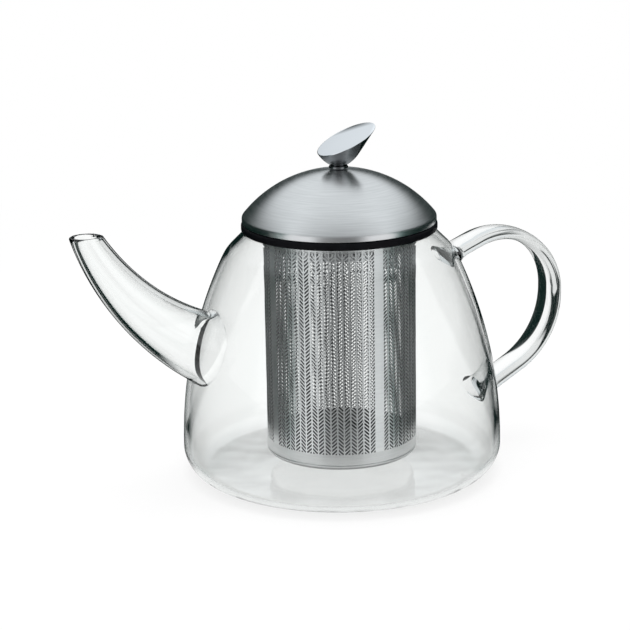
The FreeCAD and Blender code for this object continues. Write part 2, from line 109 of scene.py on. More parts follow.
class GlassSizes(PropertyGroup):
    """Sizes of the blown pot, the drawn spout and the flat handle"""

    pot_radius: length("Pot radius", "Widest outer radius, just above the base", 0.0725)
    wall: length("Wall", "Thickness of the pot's glass", 0.0022)
    corner_radius: length("Corner radius", "Outer rounding between base and side", 0.0125)
    foot_radius: length("Foot radius", "Inner radius of the ring that the pot stands on", 0.042)
    push_up: length("Push-up", "Rise of the middle of the base", 0.002)
    side_start: length("Side start", "Height where the conical side begins", 0.0132)
    side_radius: length("Side radius", "Radius of the side's long curve", 0.2)
    side_angle: angle("Side angle", "Lean of the side at the shoulder", 25.5)
    shoulder_radius: length("Shoulder radius", "Rounding between side and neck", 0.02)
    shoulder_angle: angle("Shoulder angle", "Lean of the shoulder where its rounding ends", 45.0)
    shoulder_run: length("Shoulder run", "Straight run from the shoulder's rounding to the neck", 0.0083)
    neck_fillet: length("Neck fillet", "Hollow rounding between shoulder and neck", 0.0015)
    rim_rise: length("Rim rise", "Height of the rim above the neck's rounding", 0.00095)
    spout_root: position("Spout root", "Middle of the spout's root, X outwards and Z", 0.0649, 0.0647)
    spout_bend: length("Spout bend", "Radius of the spout's middle line", 0.1185)
    spout_root_angle: angle("Spout root angle", "Rise of the spout at the pot", 27.0)
    spout_tip_angle: angle("Spout tip angle", "Rise of the spout at its rim", 64.5)
    spout_root_diameter: length("Spout root diameter", "Outer diameter at the pot", 0.0325)
    spout_tip_diameter: length("Spout tip diameter", "Outer diameter where the bend ends, below the rim", 0.0139)
    spout_end_taper: length("Spout end taper", "Loss of diameter past the bend, to the blank's end", 0.0021)
    spout_waist: length("Spout waist", "How much narrower the spout's middle is than an even taper", 0.0007)
    spout_wall: length("Spout wall", "Thickness of the spout's glass", 0.0025)
    strap_width: length("Strap width", "Width of the handle's flat strap", 0.019)
    strap_thickness: length("Strap thickness", "Thickness of the handle's flat strap, in its middle", 0.0058)
    handle_reach: length("Handle reach", "Distance of the strap's outermost run from the axis", 0.1090)
    handle_top: length("Handle top", "Height of the strap's highest point", 0.1014)
    handle_bend: length("Handle bend", "Radius of the quarter turn at the top", 0.0294)
    lead_radius: length("Lead radius", "Radius of the bend before the quarter turn", 0.032)
    lead_angle: angle("Lead angle", "Rise of the strap where it leaves the shoulder", 22.0)
    lead_length: length("Lead length", "Straight run at the upper root", 0.017)
    handle_drop: length("Handle drop", "Straight run between the two large bends", 0.0017)
    lower_bend: length("Lower bend", "Radius of the bend that comes back to the pot", 0.038)
    lower_turn: angle("Lower turn", "Turn of the lower bend", 61.0)
    tail_length: length("Tail length", "Straight run at the lower root", 0.025)
    spout_flare: length("Spout flare", "How far the spout widens where it meets the pot", 0.0012)
    weld_spread: length("Weld spread", "Extra thickness where glass is melted onto the pot", 0.0022)
    weld_reach: length("Weld reach", "Distance from the pot over which a weld thins out", 0.006)
    overrun: length("Overrun", "How far a cutting shape goes past what it cuts", 0.0090625)
    tint: colour("Glass tint", "Colour of the light that passes a face", 0.99, 1.0, 0.995)
    # painted shade: the dark green given to glass edges that turn aside and to light caught inside the glass
    painted_edge_shade: colour("Edge tint", "Colour of the light that is caught inside the glass", 0.16, 0.36, 0.33)
    pot_edge: share("Pot edge", "How far aside the pot's face turns before it goes dark", 0.76)
    pot_edge_tone: share("Pot edge tone", "Share of the edge tint's light in the pot", 0.25)
    tube_edge: share("Tube edge", "How far aside the spout's or handle's face turns before it goes dark", 0.84)
    tube_edge_tone: share("Tube edge tone", "Share of the edge tint's light in spout and handle", 0.2)
    caught_shade_share: share("Caught share", "Share of the edge tint in light that is caught inside the glass", 0.4)
    refraction: number("Refraction", "Index of refraction of the glass", 1.47)
    wave_scale: number("Wave scale", "Fineness of the waves in the glass", 38.0)
    wave_depth: length("Wave depth", "Depth of the waves", 0.0002)
    ripple_scale: number("Ripple scale", "Fineness of the base's ripples", 95.0)
    ripple_share: share("Ripple share", "Depth of the ripples, as a share of the waves", 0.75)
    ripple_end: stretch("Ripple end", "Heights between which the ripples fade", 0.003, 0.006)


class InfuserSizes(PropertyGroup):
    """Sizes of the perforated steel infuser"""

    sheet: length("Sheet", "Thickness of the sheet", 0.0005)
    panels: IntProperty(name="Panels", description="Perforated panels round the sleeve", default=4, min=1)
    columns: IntProperty(name="Columns", description="Columns of slots in each panel", default=17, min=1)
    row_pitch: length("Row pitch", "Height from one row of slots to the next", 0.0017)
    strip: length("Strip", "Width of the plain strip between two panels", 0.004)
    slot_edge_side: share("Slot edge, side", "Share of a column that stays solid beside a slot", 0.12, 0.01, 0.45)
    slot_edge_height: share("Slot edge, height", "Share of a row that stays solid over a slot", 0.2, 0.01, 0.45)
    slant: length("Slant", "Rise of a slot across its column", 0.0027)
    slotted_sheet: length("Slotted sheet", "Thickness of the sleeve's sheet between its slots", 0.00035)
    plain_band: length("Plain band", "Height of the plain band under the slots", 0.0074)
    seam: length("Seam", "Rounding of the cap's upper edge, where it meets the sleeve", 0.0005)
    top_band: length("Top band", "Height of the plain band over the slots", 0.0035)
    first_strip: angle("First strip", "Direction of the middle of the first plain strip", -85.0)
    steel: colour("Infuser steel", "Colour of the satin steel", 0.75, 0.76, 0.76)
    fineness: number("Fineness", "How close the brushed lines are", 2500.0)
    outside_turn: span("Outside turn", "How far out a face points where the bright outside begins", 0.2, 0.8)
    # painted shade in the slots and on the inside of the sleeve
    inside_shade_tone: share("Inside tone", "Share of the steel's light in the slots and inside", 0.1)
    cap_tone: share("Cap tone", "Share of the steel's light in the band under the slots", 0.86)
    cap_end: stretch("Cap end", "Heights between which the cap's tone ends", 0.0162, 0.0168)


class LidSizes(PropertyGroup):
    """Sizes of the dome, the seal and the knob"""

    dome_ball: length("Dome ball", "Outer radius of the dome's sphere", 0.0557)
    dome_edge_round: length("Dome edge round", "Outer rounding where the dome turns down", 0.002)
    dome_sheet: length("Dome sheet", "Thickness of the dome's sheet", 0.0008)
    seal_round: length("Seal round", "Rounding of the seal's upper edge", 0.0013)
    seal_lip: length("Seal lip", "Thickness of the lip that hangs outside the collar", 0.0008)
    seal_foot: length("Seal foot", "Rounding of the lip's lower edge", 0.00072)
    rim_drop: length("Rim drop", "How much lower the seal and the dome's edge sit than their solids", 0.0008)
    seal_hole: length("Seal hole", "Inner radius of the seal", 0.0327)
    seat_gap: length("Seat gap", "Room between the collar and the seal", 0.0002)
    bead_edge: length("Bead edge", "How far the bead bulges", 0.00085)
    bowl_width: length("Bowl width", "Radius where the knob's bowl runs into its cone", 0.0092)
    bowl_height: length("Bowl height", "Height of the knob's bowl", 0.0052)
    bowl_radius: length("Bowl radius", "Radius of the bowl's curve", 0.0156)
    neck_radius: length("Knob neck", "Radius of the knob's foot", 0.0035)
    knob_slope: angle("Knob slope", "Lean of the knob's cone from upright", 33.3)
    knob_blank: length("Knob blank", "Height of the cone above the bowl before it is cut", 0.0208)
    cut_low_height: length("Cut height", "Height of the slanting face above the bead, at its low edge", 0.0053)
    cut_angle: angle("Cut angle", "Lean of the slanting face", 24.6)
    knob_edge: length("Knob edge", "Width of the polished edge round the slanting face", 0.0004)
    steel: colour("Dome steel", "Colour of the brushed steel", 0.72, 0.73, 0.73)
    fineness: number("Fineness", "How close the brushed lines are", 2600.0)
    brushing: share("Brushing", "How far the lines spread the dome's gloss to one side", 0.75)
    chrome: colour("Chrome", "Colour of the polished knob", 0.86, 0.89, 0.92)
    # painted shade on the knob's underside
    under_shade_tone: share("Under tone", "Share of the chrome's light on the knob's underside", 0.36)
    under_turn: span("Under turn", "How far up a face points where the underside's tone ends", -0.5, 0.2)
    # painted shade: the bead is given only a share of the chrome's light
    bead_shade_tone: share("Bead tone", "Share of the chrome's light on the bead", 0.25)
    silicone: colour("Silicone", "Colour of the seal", 0.003, 0.003, 0.004)


class StageSettings(PropertyGroup):
    """The camera, the floor and the light"""

    azimuth: angle("Azimuth", "Direction of the camera round the pot", -24.0)
    elevation: angle("Elevation", "Height angle of the camera", 15.57)
    roll: angle("Roll", "Turn of the picture", -0.92)
    distance: length("Distance", "From the camera to its target", 0.968)
    frame_width: length("Frame width", "Width of the picture at the target", 0.28526)
    target: position("Target", "Point that the camera looks at", -0.01048, 0.00467, 0.07183)
    nearest: length("Nearest", "Distance from which on the camera sees things", 0.00968)
    floor_radius: length("Floor radius", "Radius of the floor", 6.0)
    floor_drop: length("Floor drop", "Gap under the pot's foot", 0.0003)
    floor_tone: share("Floor tone", "Share of the light that the floor throws back", 0.9)
    floor_glow: share("Floor glow", "Share of the floor that is plain white to the eye", 0.9)
    glow_reach: stretch("Glow reach", "Distances between which the floor turns all white", 0.25, 0.6)
    # painted shadow: the floor is made darker right under the pot
    contact_shadow_tone: share("Contact tone", "Brightness of the floor right under the pot", 0.89)
    contact_end: stretch("Contact end", "Distances between which that tone ends", 0.06, 0.074)
    fill: number("Fill", "Strength of the light from all round", 0.55)
    pale_side: colour("Pale side", "What metal mirrors on the viewer's side", 0.97, 0.98, 1.0)
    dark_side: colour("Dark side", "What metal mirrors to the left and right", 0.006, 0.016, 0.014)
    ceiling: colour("Ceiling", "What metal mirrors overhead", 0.93, 0.97, 1.0)
    ceiling_start: span("Ceiling start", "How far up a direction points where the ceiling begins", 0.2, 0.5)
    ceiling_lift: number("Ceiling lift", "How much higher it begins to the left and right", 1.1)
    front_tone: share("Front tone", "Share of the ceiling's light that is left towards the viewer", 0.4)
    front_turn: span("Front turn", "How far to the viewer a direction points where that tone begins", 0.1, 0.5)
    back_turn: span("Back turn", "How far back a direction points where the pot's back begins", 0.48, 0.52)
    horizon: span("Horizon", "How far up a direction points where the dark back ends", 0.0, 0.08)
    mirror_start: stretch("Mirror start", "Distances between which mirrors see more than white", 0.075, 0.082)
    caught_start: stretch("Caught start", "Distances between which caught light meets its cards", 0.095, 0.115)
    white_end: stretch("White end", "How far back the floor is white for light caught in glass", 0.17, 0.21)
    bent_card: stretch("Bent card", "How far right a card begins that shows in the handle's bend", 0.09, 0.094)
    bent_card_lean: number("Card lean", "How much further right it begins for each length back", 0.137)
    right_card: stretch("Right card", "How far right a dark card for caught light begins", 0.132, 0.14)
    right_card_end: stretch("Right card end", "How far back that card ends", 0.24, 0.23)
    left_card: stretch("Left card", "Where a dark card for caught light begins on the left", -0.092, -0.096)
    left_card_turn: span("Left card turn", "How far right a direction points where that card ends", 0.085, 0.075)
    lamp_power: number("Lamp power", "Power of the overhead lamp", 9.0, unit="POWER")
    lamp_size: length("Lamp size", "Side of the overhead lamp", 0.7)
    lamp_height: length("Lamp height", "Height of the overhead lamp", 0.9)


# Mesh tools


class Outline:
    """A line drawn in the XZ plane, stretch by stretch, that is then turned round the Z axis."""

    def __init__(self, x, z):
        self.mesh = bmesh.new()
        self.first = self.mesh.verts.new((x, 0, z))
        self.tip = self.first

    def line(self, x, z):
        self.tip = bmesh.ops.extrude_vert_indiv(self.mesh, verts=[self.tip])["verts"][0]
        self.tip.co = (x, 0, z)
        return self

    def arc(self, x, z, turn, steps):
        """Go round (x, z), clockwise for a positive turn when +X is to the right and +Z up."""
        made = bmesh.ops.spin(self.mesh, geom=[self.tip], cent=(x, 0, z), axis=(0, 1, 0), angle=turn,
                              steps=steps)
        self.tip = made["geom_last"][0]
        return self

    def close(self):
        self.mesh.edges.new((self.tip, self.first))
        return self

    def turned(self, steps=TURN_STEPS):
        """The closed skin that the line makes round the Z axis, faces outwards."""
        line = self.mesh.verts[:] + self.mesh.edges[:]
        bmesh.ops.spin(self.mesh, geom=line, cent=(0, 0, 0), axis=(0, 0, 1), angle=FULL_TURN, steps=steps,
                       use_merge=True)
        return tidy_skin(self.mesh)


def tidy_skin(mesh):
    """Join what touches and point every face outwards."""
    bmesh.ops.remove_doubles(mesh, verts=mesh.verts[:], dist=TOUCHING)
    bmesh.ops.recalc_face_normals(mesh, faces=mesh.faces[:])
    return mesh


def push_ring(mesh, ring, offset, steps=1):
    """Extrude an edge ring straight on in even steps, and give the last ring."""
    for _ in range(steps):
        made = bmesh.ops.extrude_edge_only(mesh, edges=ring)["geom"]
        verts = [item for item in made if isinstance(item, bmesh.types.BMVert)]
        bmesh.ops.translate(mesh, vec=Vector(offset) / steps, verts=verts)
        ring = edges_between(made)
    return ring


def swing_ring(mesh, ring, centre, turn, steps):
    """Spin an edge ring about the Y direction through a point, and give the last ring."""
    verts = list({vert for edge in ring for vert in edge.verts})
    made = bmesh.ops.spin(mesh, geom=verts + ring, cent=centre, axis=(0, 1, 0), angle=turn, steps=steps)
    return edges_between(made["geom_last"])


def edges_between(items):
    """Those edges among the items whose two ends are among them too."""
    verts = {item for item in items if isinstance(item, bmesh.types.BMVert)}
    edges = {item for item in items if isinstance(item, bmesh.types.BMEdge)}
    return [edge for edge in edges if verts.issuperset(edge.verts)]


def resize_ring(mesh, ring, scale):
    """Make an edge ring larger or smaller about its own middle."""
    verts = list({vert for edge in ring for vert in edge.verts})
    middle = sum((vert.co for vert in verts), Vector()) / len(verts)
    bmesh.ops.scale(mesh, vec=(scale,) * 3, space=Matrix.Translation(-middle), verts=verts)


def cut_off(mesh, point, direction):
    """Take off what lies beyond a plane, and give the edges of the cut."""
    everything = mesh.verts[:] + mesh.edges[:] + mesh.faces[:]
    made = bmesh.ops.bisect_plane(mesh, geom=everything, dist=TOUCHING, plane_co=point, plane_no=direction,
                                  clear_outer=True)
    return [item for item in made["geom_cut"] if isinstance(item, bmesh.types.BMEdge)]


def round_edges(mesh, edges, width, segments):
    bmesh.ops.bevel(mesh, geom=edges, offset=width, offset_type="OFFSET", segments=segments, profile=0.5,
                    affect="EDGES", material=-1)


def loose_object(name, mesh):
    """A plain object made from a mesh that is still being worked on."""
    data = bpy.data.meshes.new(name)
    mesh.to_mesh(data)
    mesh.free()
    item = bpy.data.objects.new(name, data)
    bpy.context.scene.collection.objects.link(item)
    return item


def finish_piece(name, mesh, material, body, nodes, sharp_degrees=35.0):
    """Make a piece that moves with a body and stands for solids of the frame."""
    piece = loose_object(name, mesh)
    piece.data.materials.append(material)
    piece.data.shade_smooth()
    piece.data.set_sharp_from_angle(angle=math.radians(sharp_degrees))
    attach(piece, body)
    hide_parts(*nodes)
    return piece


# Materials


def new_material(name):
    material = bpy.data.materials.new(name)
    material.use_nodes = True
    return material, material.node_tree, material.node_tree.nodes["Principled BSDF"]


def feed(tree, node, inputs):
    """Give a node its inputs, by name or in order; each is a value or the output of another node."""
    for key, value in inputs.items() if isinstance(inputs, dict) else enumerate(inputs):
        if isinstance(value, bpy.types.NodeSocket):
            tree.links.new(value, node.inputs[key])
        else:
            node.inputs[key].default_value = value


def add_node(tree, kind, inputs=(), **settings):
    node = tree.nodes.new(kind)
    for key, value in settings.items():
        setattr(node, key, value)
    feed(tree, node, inputs)
    return node


def coordinates(tree, kind="Object"):
    return add_node(tree, "ShaderNodeTexCoord").outputs[kind]


def upward(tree, vector):
    return add_node(tree, "ShaderNodeSeparateXYZ", (vector,)).outputs["Z"]


def change(tree, value, start, end, low, high, **settings):
    """Go from low to high while a value goes from a start to an end."""
    return add_node(tree, "ShaderNodeMapRange", (value, start, end, low, high), **settings).outputs[0]


def limit(tree, value, ends, **settings):
    """0 up to the first of two ends, 1 from the second on."""
    return change(tree, value, *ends, 0.0, 1.0, **settings)


def calc(tree, operation, *inputs):
    return add_node(tree, "ShaderNodeMath", inputs, operation=operation).outputs[0]


def vector_calc(tree, operation, *inputs):
    node = add_node(tree, "ShaderNodeVectorMath", inputs, operation=operation)
    return node.outputs["Value" if operation in ("DOT_PRODUCT", "LENGTH") else "Vector"]


def ramp(tree, value, *stops):
    """A colour that changes along a value; each stop is a place from 0 to 1 and a colour."""
    node = add_node(tree, "ShaderNodeValToRGB", (value,))
    elements = node.color_ramp.elements
    while len(elements) < len(stops):
        elements.new(1.0)
    for element, (place, tone) in zip(elements, stops):
        element.position = place
        element.color = tone
    return node.outputs["Color"]


def blend(tree, part, first, second):
    """Go from one colour to another by a share."""
    return add_node(tree, "ShaderNodeMix", {0: part, 6: first, 7: second}, data_type="RGBA").outputs[2]


def grey(value):
    return (value, value, value, 1)


def shaded(tint, tone):
    """The same colour, darker or lighter."""
    return (tint[0] * tone, tint[1] * tone, tint[2] * tone, 1)


def noise(tree, spot, scale, detail):
    return add_node(tree, "ShaderNodeTexNoise", {"Vector": spot, "Scale": scale, "Detail": detail}).outputs["Fac"]


def grain_tint(tree, grain, tint, low, high):
    """A colour that goes from one tone to another along a grain."""
    return ramp(tree, grain, (GRAIN_LOW, shaded(tint, low)), (GRAIN_HIGH, shaded(tint, high)))


def grain_gloss(tree, grain, low, high):
    """A roughness that goes from low to high along a grain."""
    return change(tree, grain, GRAIN_LOW, GRAIN_HIGH, low, high)


def bump(tree, height, depth):
    """A relief this deep, for the shader's normal."""
    inputs = {"Strength": 1.0, "Distance": depth, "Height": height}
    return add_node(tree, "ShaderNodeBump", inputs).outputs["Normal"]


def glass_finish(name, glass, edge_start, edge_tone):
    """Clear glass, a little wavy, with dark green painted shade where light is caught inside it and where it is
    bent far aside.
    """
    material, tree, shader = new_material(name)
    spot = coordinates(tree)
    path = add_node(tree, "ShaderNodeLightPath")
    inside = add_node(tree, "ShaderNodeNewGeometry").outputs["Backfacing"]
    # painted shade: rays caught inside the glass and faces turned far aside get the dark edge colour
    caught = calc(tree, "MULTIPLY", path.outputs["Is Reflection Ray"], inside)
    facing = add_node(tree, "ShaderNodeLayerWeight", {"Blend": 0.5}).outputs["Facing"]
    edge = limit(tree, facing, (edge_start, 1.0), interpolation_type="SMOOTHSTEP")
    dark = calc(tree, "MAXIMUM", calc(tree, "MULTIPLY", caught, glass.caught_shade_share), edge)
    ripples = change(tree, upward(tree, spot), *glass.ripple_end, glass.ripple_share, 0.0)
    waves = calc(tree, "MULTIPLY_ADD", noise(tree, spot, glass.ripple_scale, detail=0.0), ripples,
                 noise(tree, spot, glass.wave_scale, detail=1.0))
    feed(tree, shader, {
        "Base Color": blend(tree, dark, glass.tint, shaded(glass.painted_edge_shade, edge_tone)),
        "Normal": bump(tree, waves, glass.wave_depth),
        "Roughness": 0.0,
        "IOR": glass.refraction,
        "Transmission Weight": 1.0,
    })
    return material


def brushed_lines(tree, across, fineness):
    """Fine lines along the surface, much longer than they are wide; across runs from line to line."""
    along = vector_calc(tree, "MULTIPLY", coordinates(tree), (BRUSHED_LENGTH,) * 3)
    lift = add_node(tree, "ShaderNodeCombineXYZ", (0.0, 0.0, calc(tree, "MULTIPLY", across, fineness)))
    return noise(tree, vector_calc(tree, "ADD", along, lift.outputs[0]), scale=1.0, detail=5.0)


def infuser_finish(infuser):
    """Satin sheet, bright outside, with a little darker band under the slots; the etched slots and the inside get
    painted shade, and so does the cap's rounded lower edge.
    """
    material, tree, shader = new_material("infuser_steel_satin")
    spot, normal = coordinates(tree), coordinates(tree, "Normal")
    height = upward(tree, spot)
    lines = brushed_lines(tree, height, infuser.fineness)
    outwards = vector_calc(tree, "NORMALIZE", vector_calc(tree, "MULTIPLY", spot, (1, 1, 0)))
    radial = vector_calc(tree, "DOT_PRODUCT", normal, outwards)
    down = vector_calc(tree, "DOT_PRODUCT", normal, (0, 0, -1))
    outside = calc(tree, "MAXIMUM", radial, down)
    bright = grain_tint(tree, lines, infuser.steel, low=0.93, high=1.05)
    # painted shade: faces that slope downwards, such as the cap's rounded lower edge, are darkened; flat and
    # straight-down faces are not
    turned = ramp(tree, down, (0.1, grey(1)), (0.4, grey(0.4)), (0.85, grey(0.4)), (0.97, grey(1)))
    capped = change(tree, height, *infuser.cap_end, infuser.cap_tone, 1.0)
    bright = vector_calc(tree, "MULTIPLY", vector_calc(tree, "MULTIPLY", bright, turned), capped)
    # painted shade: slot walls and inside faces get a dark copy of the steel
    painted_inside_shade = shaded(infuser.steel, infuser.inside_shade_tone)
    feed(tree, shader, {
        "Base Color": blend(tree, limit(tree, outside, infuser.outside_turn), painted_inside_shade, bright),
        "Roughness": grain_gloss(tree, lines, low=0.28, high=0.34),
        "Metallic": 1.0,
    })
    return material


def plain_steel_finish(name, tint, low, high):
    """Plain satin steel with a fine grain in its gloss, between a low and a high roughness."""
    material, tree, shader = new_material(name)
    grain = noise(tree, coordinates(tree), STEEL_GRAIN, detail=4.0)
    feed(tree, shader, {
        "Base Color": grain_tint(tree, grain, tint, low=0.92, high=1.0),
        "Roughness": grain_gloss(tree, grain, low, high),
        "Metallic": 1.0,
    })
    return material


def chrome_finish(lid):
    """Polished chrome, bright on its upper face, with painted shade underneath."""
    material, tree, shader = new_material("knob_chrome_polished")
    grain = noise(tree, coordinates(tree), STEEL_GRAIN, detail=4.0)
    above = limit(tree, upward(tree, coordinates(tree, "Normal")), lid.under_turn)
    feed(tree, shader, {
        # painted shade: faces that point down get a darker copy of the chrome
        "Base Color": blend(tree, above, shaded(lid.chrome, lid.under_shade_tone), lid.chrome),
        "Roughness": grain_gloss(tree, grain, low=0.03, high=0.07),
        "Metallic": 1.0,
    })
    return material


def dome_finish(lid):
    """Steel brushed in circles round the knob."""
    material, tree, shader = new_material("dome_steel_brushed")
    flat = vector_calc(tree, "MULTIPLY", coordinates(tree), (1, 1, 0))
    lines = brushed_lines(tree, vector_calc(tree, "LENGTH", flat), lid.fineness)
    round_about = vector_calc(tree, "CROSS_PRODUCT", (0, 0, 1), flat)
    slope = vector_calc(tree, "CROSS_PRODUCT", round_about, coordinates(tree, "Normal"))
    across = add_node(tree, "ShaderNodeVectorTransform", (slope,), convert_from="OBJECT", convert_to="WORLD")
    feed(tree, shader, {
        "Base Color": grain_tint(tree, lines, lid.steel, low=0.9, high=1.08),
        "Roughness": grain_gloss(tree, lines, low=0.276, high=0.34),
        "Tangent": across.outputs[0],
        "Anisotropic": lid.brushing,
        "Metallic": 1.0,
    })
    return material


def silicone_finish(tint):
    """Black moulded silicone with a faint bloom."""
    material, tree, shader = new_material("black_silicone")
    spot = coordinates(tree)
    bloom = noise(tree, spot, scale=260.0, detail=4.0)
    feed(tree, shader, {
        "Base Color": ramp(tree, bloom, (0.35, tint), (0.75, shaded(tint, 1.9))),
        "Roughness": grain_gloss(tree, bloom, low=0.42, high=0.55),
        "Normal": bump(tree, noise(tree, spot, scale=2500.0, detail=2.0), depth=0.00003),
        "Specular IOR Level": 0.08,
    })
    return material


# The glass


def shoulder_centre(glass):
    """The middle of the shoulder's rounding, X and Z."""
    reach = glass.side_radius - glass.shoulder_radius
    x = glass.pot_radius - glass.side_radius + reach * math.cos(glass.side_angle)
    return x, glass.side_start + reach * math.sin(glass.side_angle)


def neck_centre(glass):
    """The middle of the hollow rounding under the neck, X and Z."""
    x, z = shoulder_centre(glass)
    reach = glass.shoulder_radius + glass.neck_fillet
    across, up = math.cos(glass.shoulder_angle), math.sin(glass.shoulder_angle)
    return x + reach * across - glass.shoulder_run * up, z + reach * up + glass.shoulder_run * across


def pot_skin(glass, inset, rise):
    """The pot's outer face, or the face this far inside it, closed with a flat lid above the neck."""
    crown = (glass.foot_radius ** 2 + glass.push_up ** 2) / (2 * glass.push_up)
    corner = glass.pot_radius - glass.corner_radius
    line = Outline(0, glass.push_up + inset)
    line.arc(0, glass.push_up + inset - crown, math.asin(glass.foot_radius / crown), steps=12)
    line.line(corner, inset)
    line.arc(corner, glass.corner_radius, -QUARTER_TURN, steps=14)
    line.line(glass.pot_radius - inset, glass.side_start)
    line.arc(glass.pot_radius - glass.side_radius, glass.side_start, -glass.side_angle, steps=44)
    line.arc(*shoulder_centre(glass), glass.side_angle - glass.shoulder_angle, steps=12)
    neck_x, neck_z = neck_centre(glass)
    reach = glass.neck_fillet + inset
    line.line(neck_x - reach * math.cos(glass.shoulder_angle), neck_z - reach * math.sin(glass.shoulder_angle))
    line.arc(neck_x, neck_z, glass.shoulder_angle, steps=12)
    top = neck_z + glass.rim_rise + rise
    return line.line(neck_x - reach, top).line(0, top).turned()


def pot_radius_at(glass, z):
    """The pot's outer radius at a height on its side or shoulder."""
    side_end = glass.side_start + glass.side_radius * math.sin(glass.side_angle)
    if z < side_end:
        rise = z - glass.side_start
        return glass.pot_radius - glass.side_radius + math.sqrt(glass.side_radius ** 2 - rise ** 2)
    x, centre_z = shoulder_centre(glass)
    rise = min(z - centre_z, glass.shoulder_radius * math.sin(glass.shoulder_angle))
    beyond = z - centre_z - rise
    return x + math.sqrt(glass.shoulder_radius ** 2 - rise ** 2) - beyond * math.tan(glass.shoulder_angle)


def thicken_at_pot(mesh, glass, spread, depth=0.0):
    """Let a tube or strap grow towards the pot's face, as molten glass does at a weld."""
    mesh.normal_update()
    for vert in mesh.verts:
        gap = math.hypot(vert.co.x, vert.co.y) - pot_radius_at(glass, vert.co.z) + depth
        near = min(max(1 - gap / glass.weld_reach, 0), 1)
        vert.co += vert.normal * (spread * near ** 2)


def spout_diameter(glass, along):
    """Outer diameter at a share of the spout's bend, from root to tip."""
    straight = glass.spout_root_diameter + (glass.spout_tip_diameter - glass.spout_root_diameter) * along
    return straight - glass.spout_waist * math.sin(math.pi * along)


def spout_skin(glass, inset):
    """The spout's outer face, or the face this far inside it, from inside the pot to above the rim."""
    steps = 56
    overrun = glass.overrun
    mesh = bmesh.new()
    first = glass.spout_root_angle
    heading = Vector((-math.cos(first), 0, math.sin(first)))
    root = Vector((-glass.spout_root[0], 0, glass.spout_root[1]))
    centre = root + glass.spout_bend * Vector((math.sin(first), 0, math.cos(first)))
    radius = spout_diameter(glass, 0) / 2 - inset
    lean = Matrix.Rotation(first - QUARTER_TURN, 4, "Y")
    made = bmesh.ops.create_circle(mesh, segments=72, radius=radius,
                                   matrix=Matrix.Translation(root - heading * overrun) @ lean)
    ring = list({edge for vert in made["verts"] for edge in vert.link_edges})
    ring = push_ring(mesh, ring, heading * overrun)
    turn = (glass.spout_tip_angle - first) / steps
    for step in range(1, steps + 1):
        ring = swing_ring(mesh, ring, centre, turn, steps=1)
        wanted = spout_diameter(glass, step / steps) / 2 - inset
        resize_ring(mesh, ring, wanted / radius)
        radius = wanted
    last = glass.spout_tip_angle
    ring = push_ring(mesh, ring, Vector((-math.cos(last), 0, math.sin(last))) * overrun)
    resize_ring(mesh, ring, 1 - glass.spout_end_taper / 2 / radius)
    bmesh.ops.holes_fill(mesh, edges=mesh.edges[:])
    return tidy_skin(mesh)


def cut_level(mesh, height):
    """Take off what is above a height and close the mesh with a flat face."""
    bmesh.ops.edgeloop_fill(mesh, edges=cut_off(mesh, (0, 0, height), (0, 0, 1)))
    return tidy_skin(mesh)


def handle_skin(glass):
    """The flat strap, from inside the shoulder over the top and back into the side."""
    mesh = bmesh.new()
    half = glass.strap_thickness / 2
    top_x = glass.handle_reach - glass.handle_bend
    lead = glass.lead_angle
    heading = Vector((math.cos(lead), 0, math.sin(lead)))
    lead_turn = Vector((top_x, 0, glass.handle_top - glass.lead_radius))
    start = lead_turn + glass.lead_radius * Vector((-math.sin(lead), 0, math.cos(lead)))
    start -= heading * glass.lead_length
    section = Matrix.Diagonal((half, glass.strap_width / 2, half, 1))
    bmesh.ops.create_circle(mesh, segments=56, radius=1.0, matrix=Matrix.Translation(start)
                            @ Matrix.Rotation(QUARTER_TURN - lead, 4, "Y") @ section)
    ring = push_ring(mesh, mesh.edges[:], heading * glass.lead_length, steps=10)
    ring = swing_ring(mesh, ring, lead_turn, lead, steps=10)
    bend_z = glass.handle_top - glass.handle_bend
    ring = swing_ring(mesh, ring, (top_x, 0, bend_z), QUARTER_TURN, steps=36)
    ring = push_ring(mesh, ring, (0, 0, -glass.handle_drop))
    lower_centre = (glass.handle_reach - glass.lower_bend, 0, bend_z - glass.handle_drop)
    ring = swing_ring(mesh, ring, lower_centre, glass.lower_turn, steps=32)
    heading = -Vector((math.sin(glass.lower_turn), 0, math.cos(glass.lower_turn)))
    push_ring(mesh, ring, heading * glass.tail_length, steps=14)
    bmesh.ops.holes_fill(mesh, edges=mesh.edges[:])
    return tidy_skin(mesh)


def join_glass(base, tools):
    """Join solids to a base and cut others out of it, in order, and give the mesh."""
    for operation, tool in tools:
        modifier = base.modifiers.new(operation.title(), "BOOLEAN")
        modifier.operation = operation
        modifier.solver = "EXACT"
        modifier.object = tool
    evaluated = base.evaluated_get(bpy.context.evaluated_depsgraph_get())
    mesh = bmesh.new()
    mesh.from_mesh(evaluated.data)
    for item in [base] + [tool for _, tool in tools]:
        bpy.data.meshes.remove(item.data)
    return mesh


def round_rim(mesh, height, wall):
    """Make the flat rim at this height anew, with both edges rounded."""
    level = [face for face in mesh.faces if all(abs(vert.co.z - height) < TOUCHING for vert in face.verts)]
    bmesh.ops.delete(mesh, geom=level, context="FACES")
    loops = [edge for edge in mesh.edges if edge.is_boundary]
    bmesh.ops.bridge_loops(mesh, edges=loops)
    round_edges(mesh, loops, wall * RIM_ROUND, segments=4)


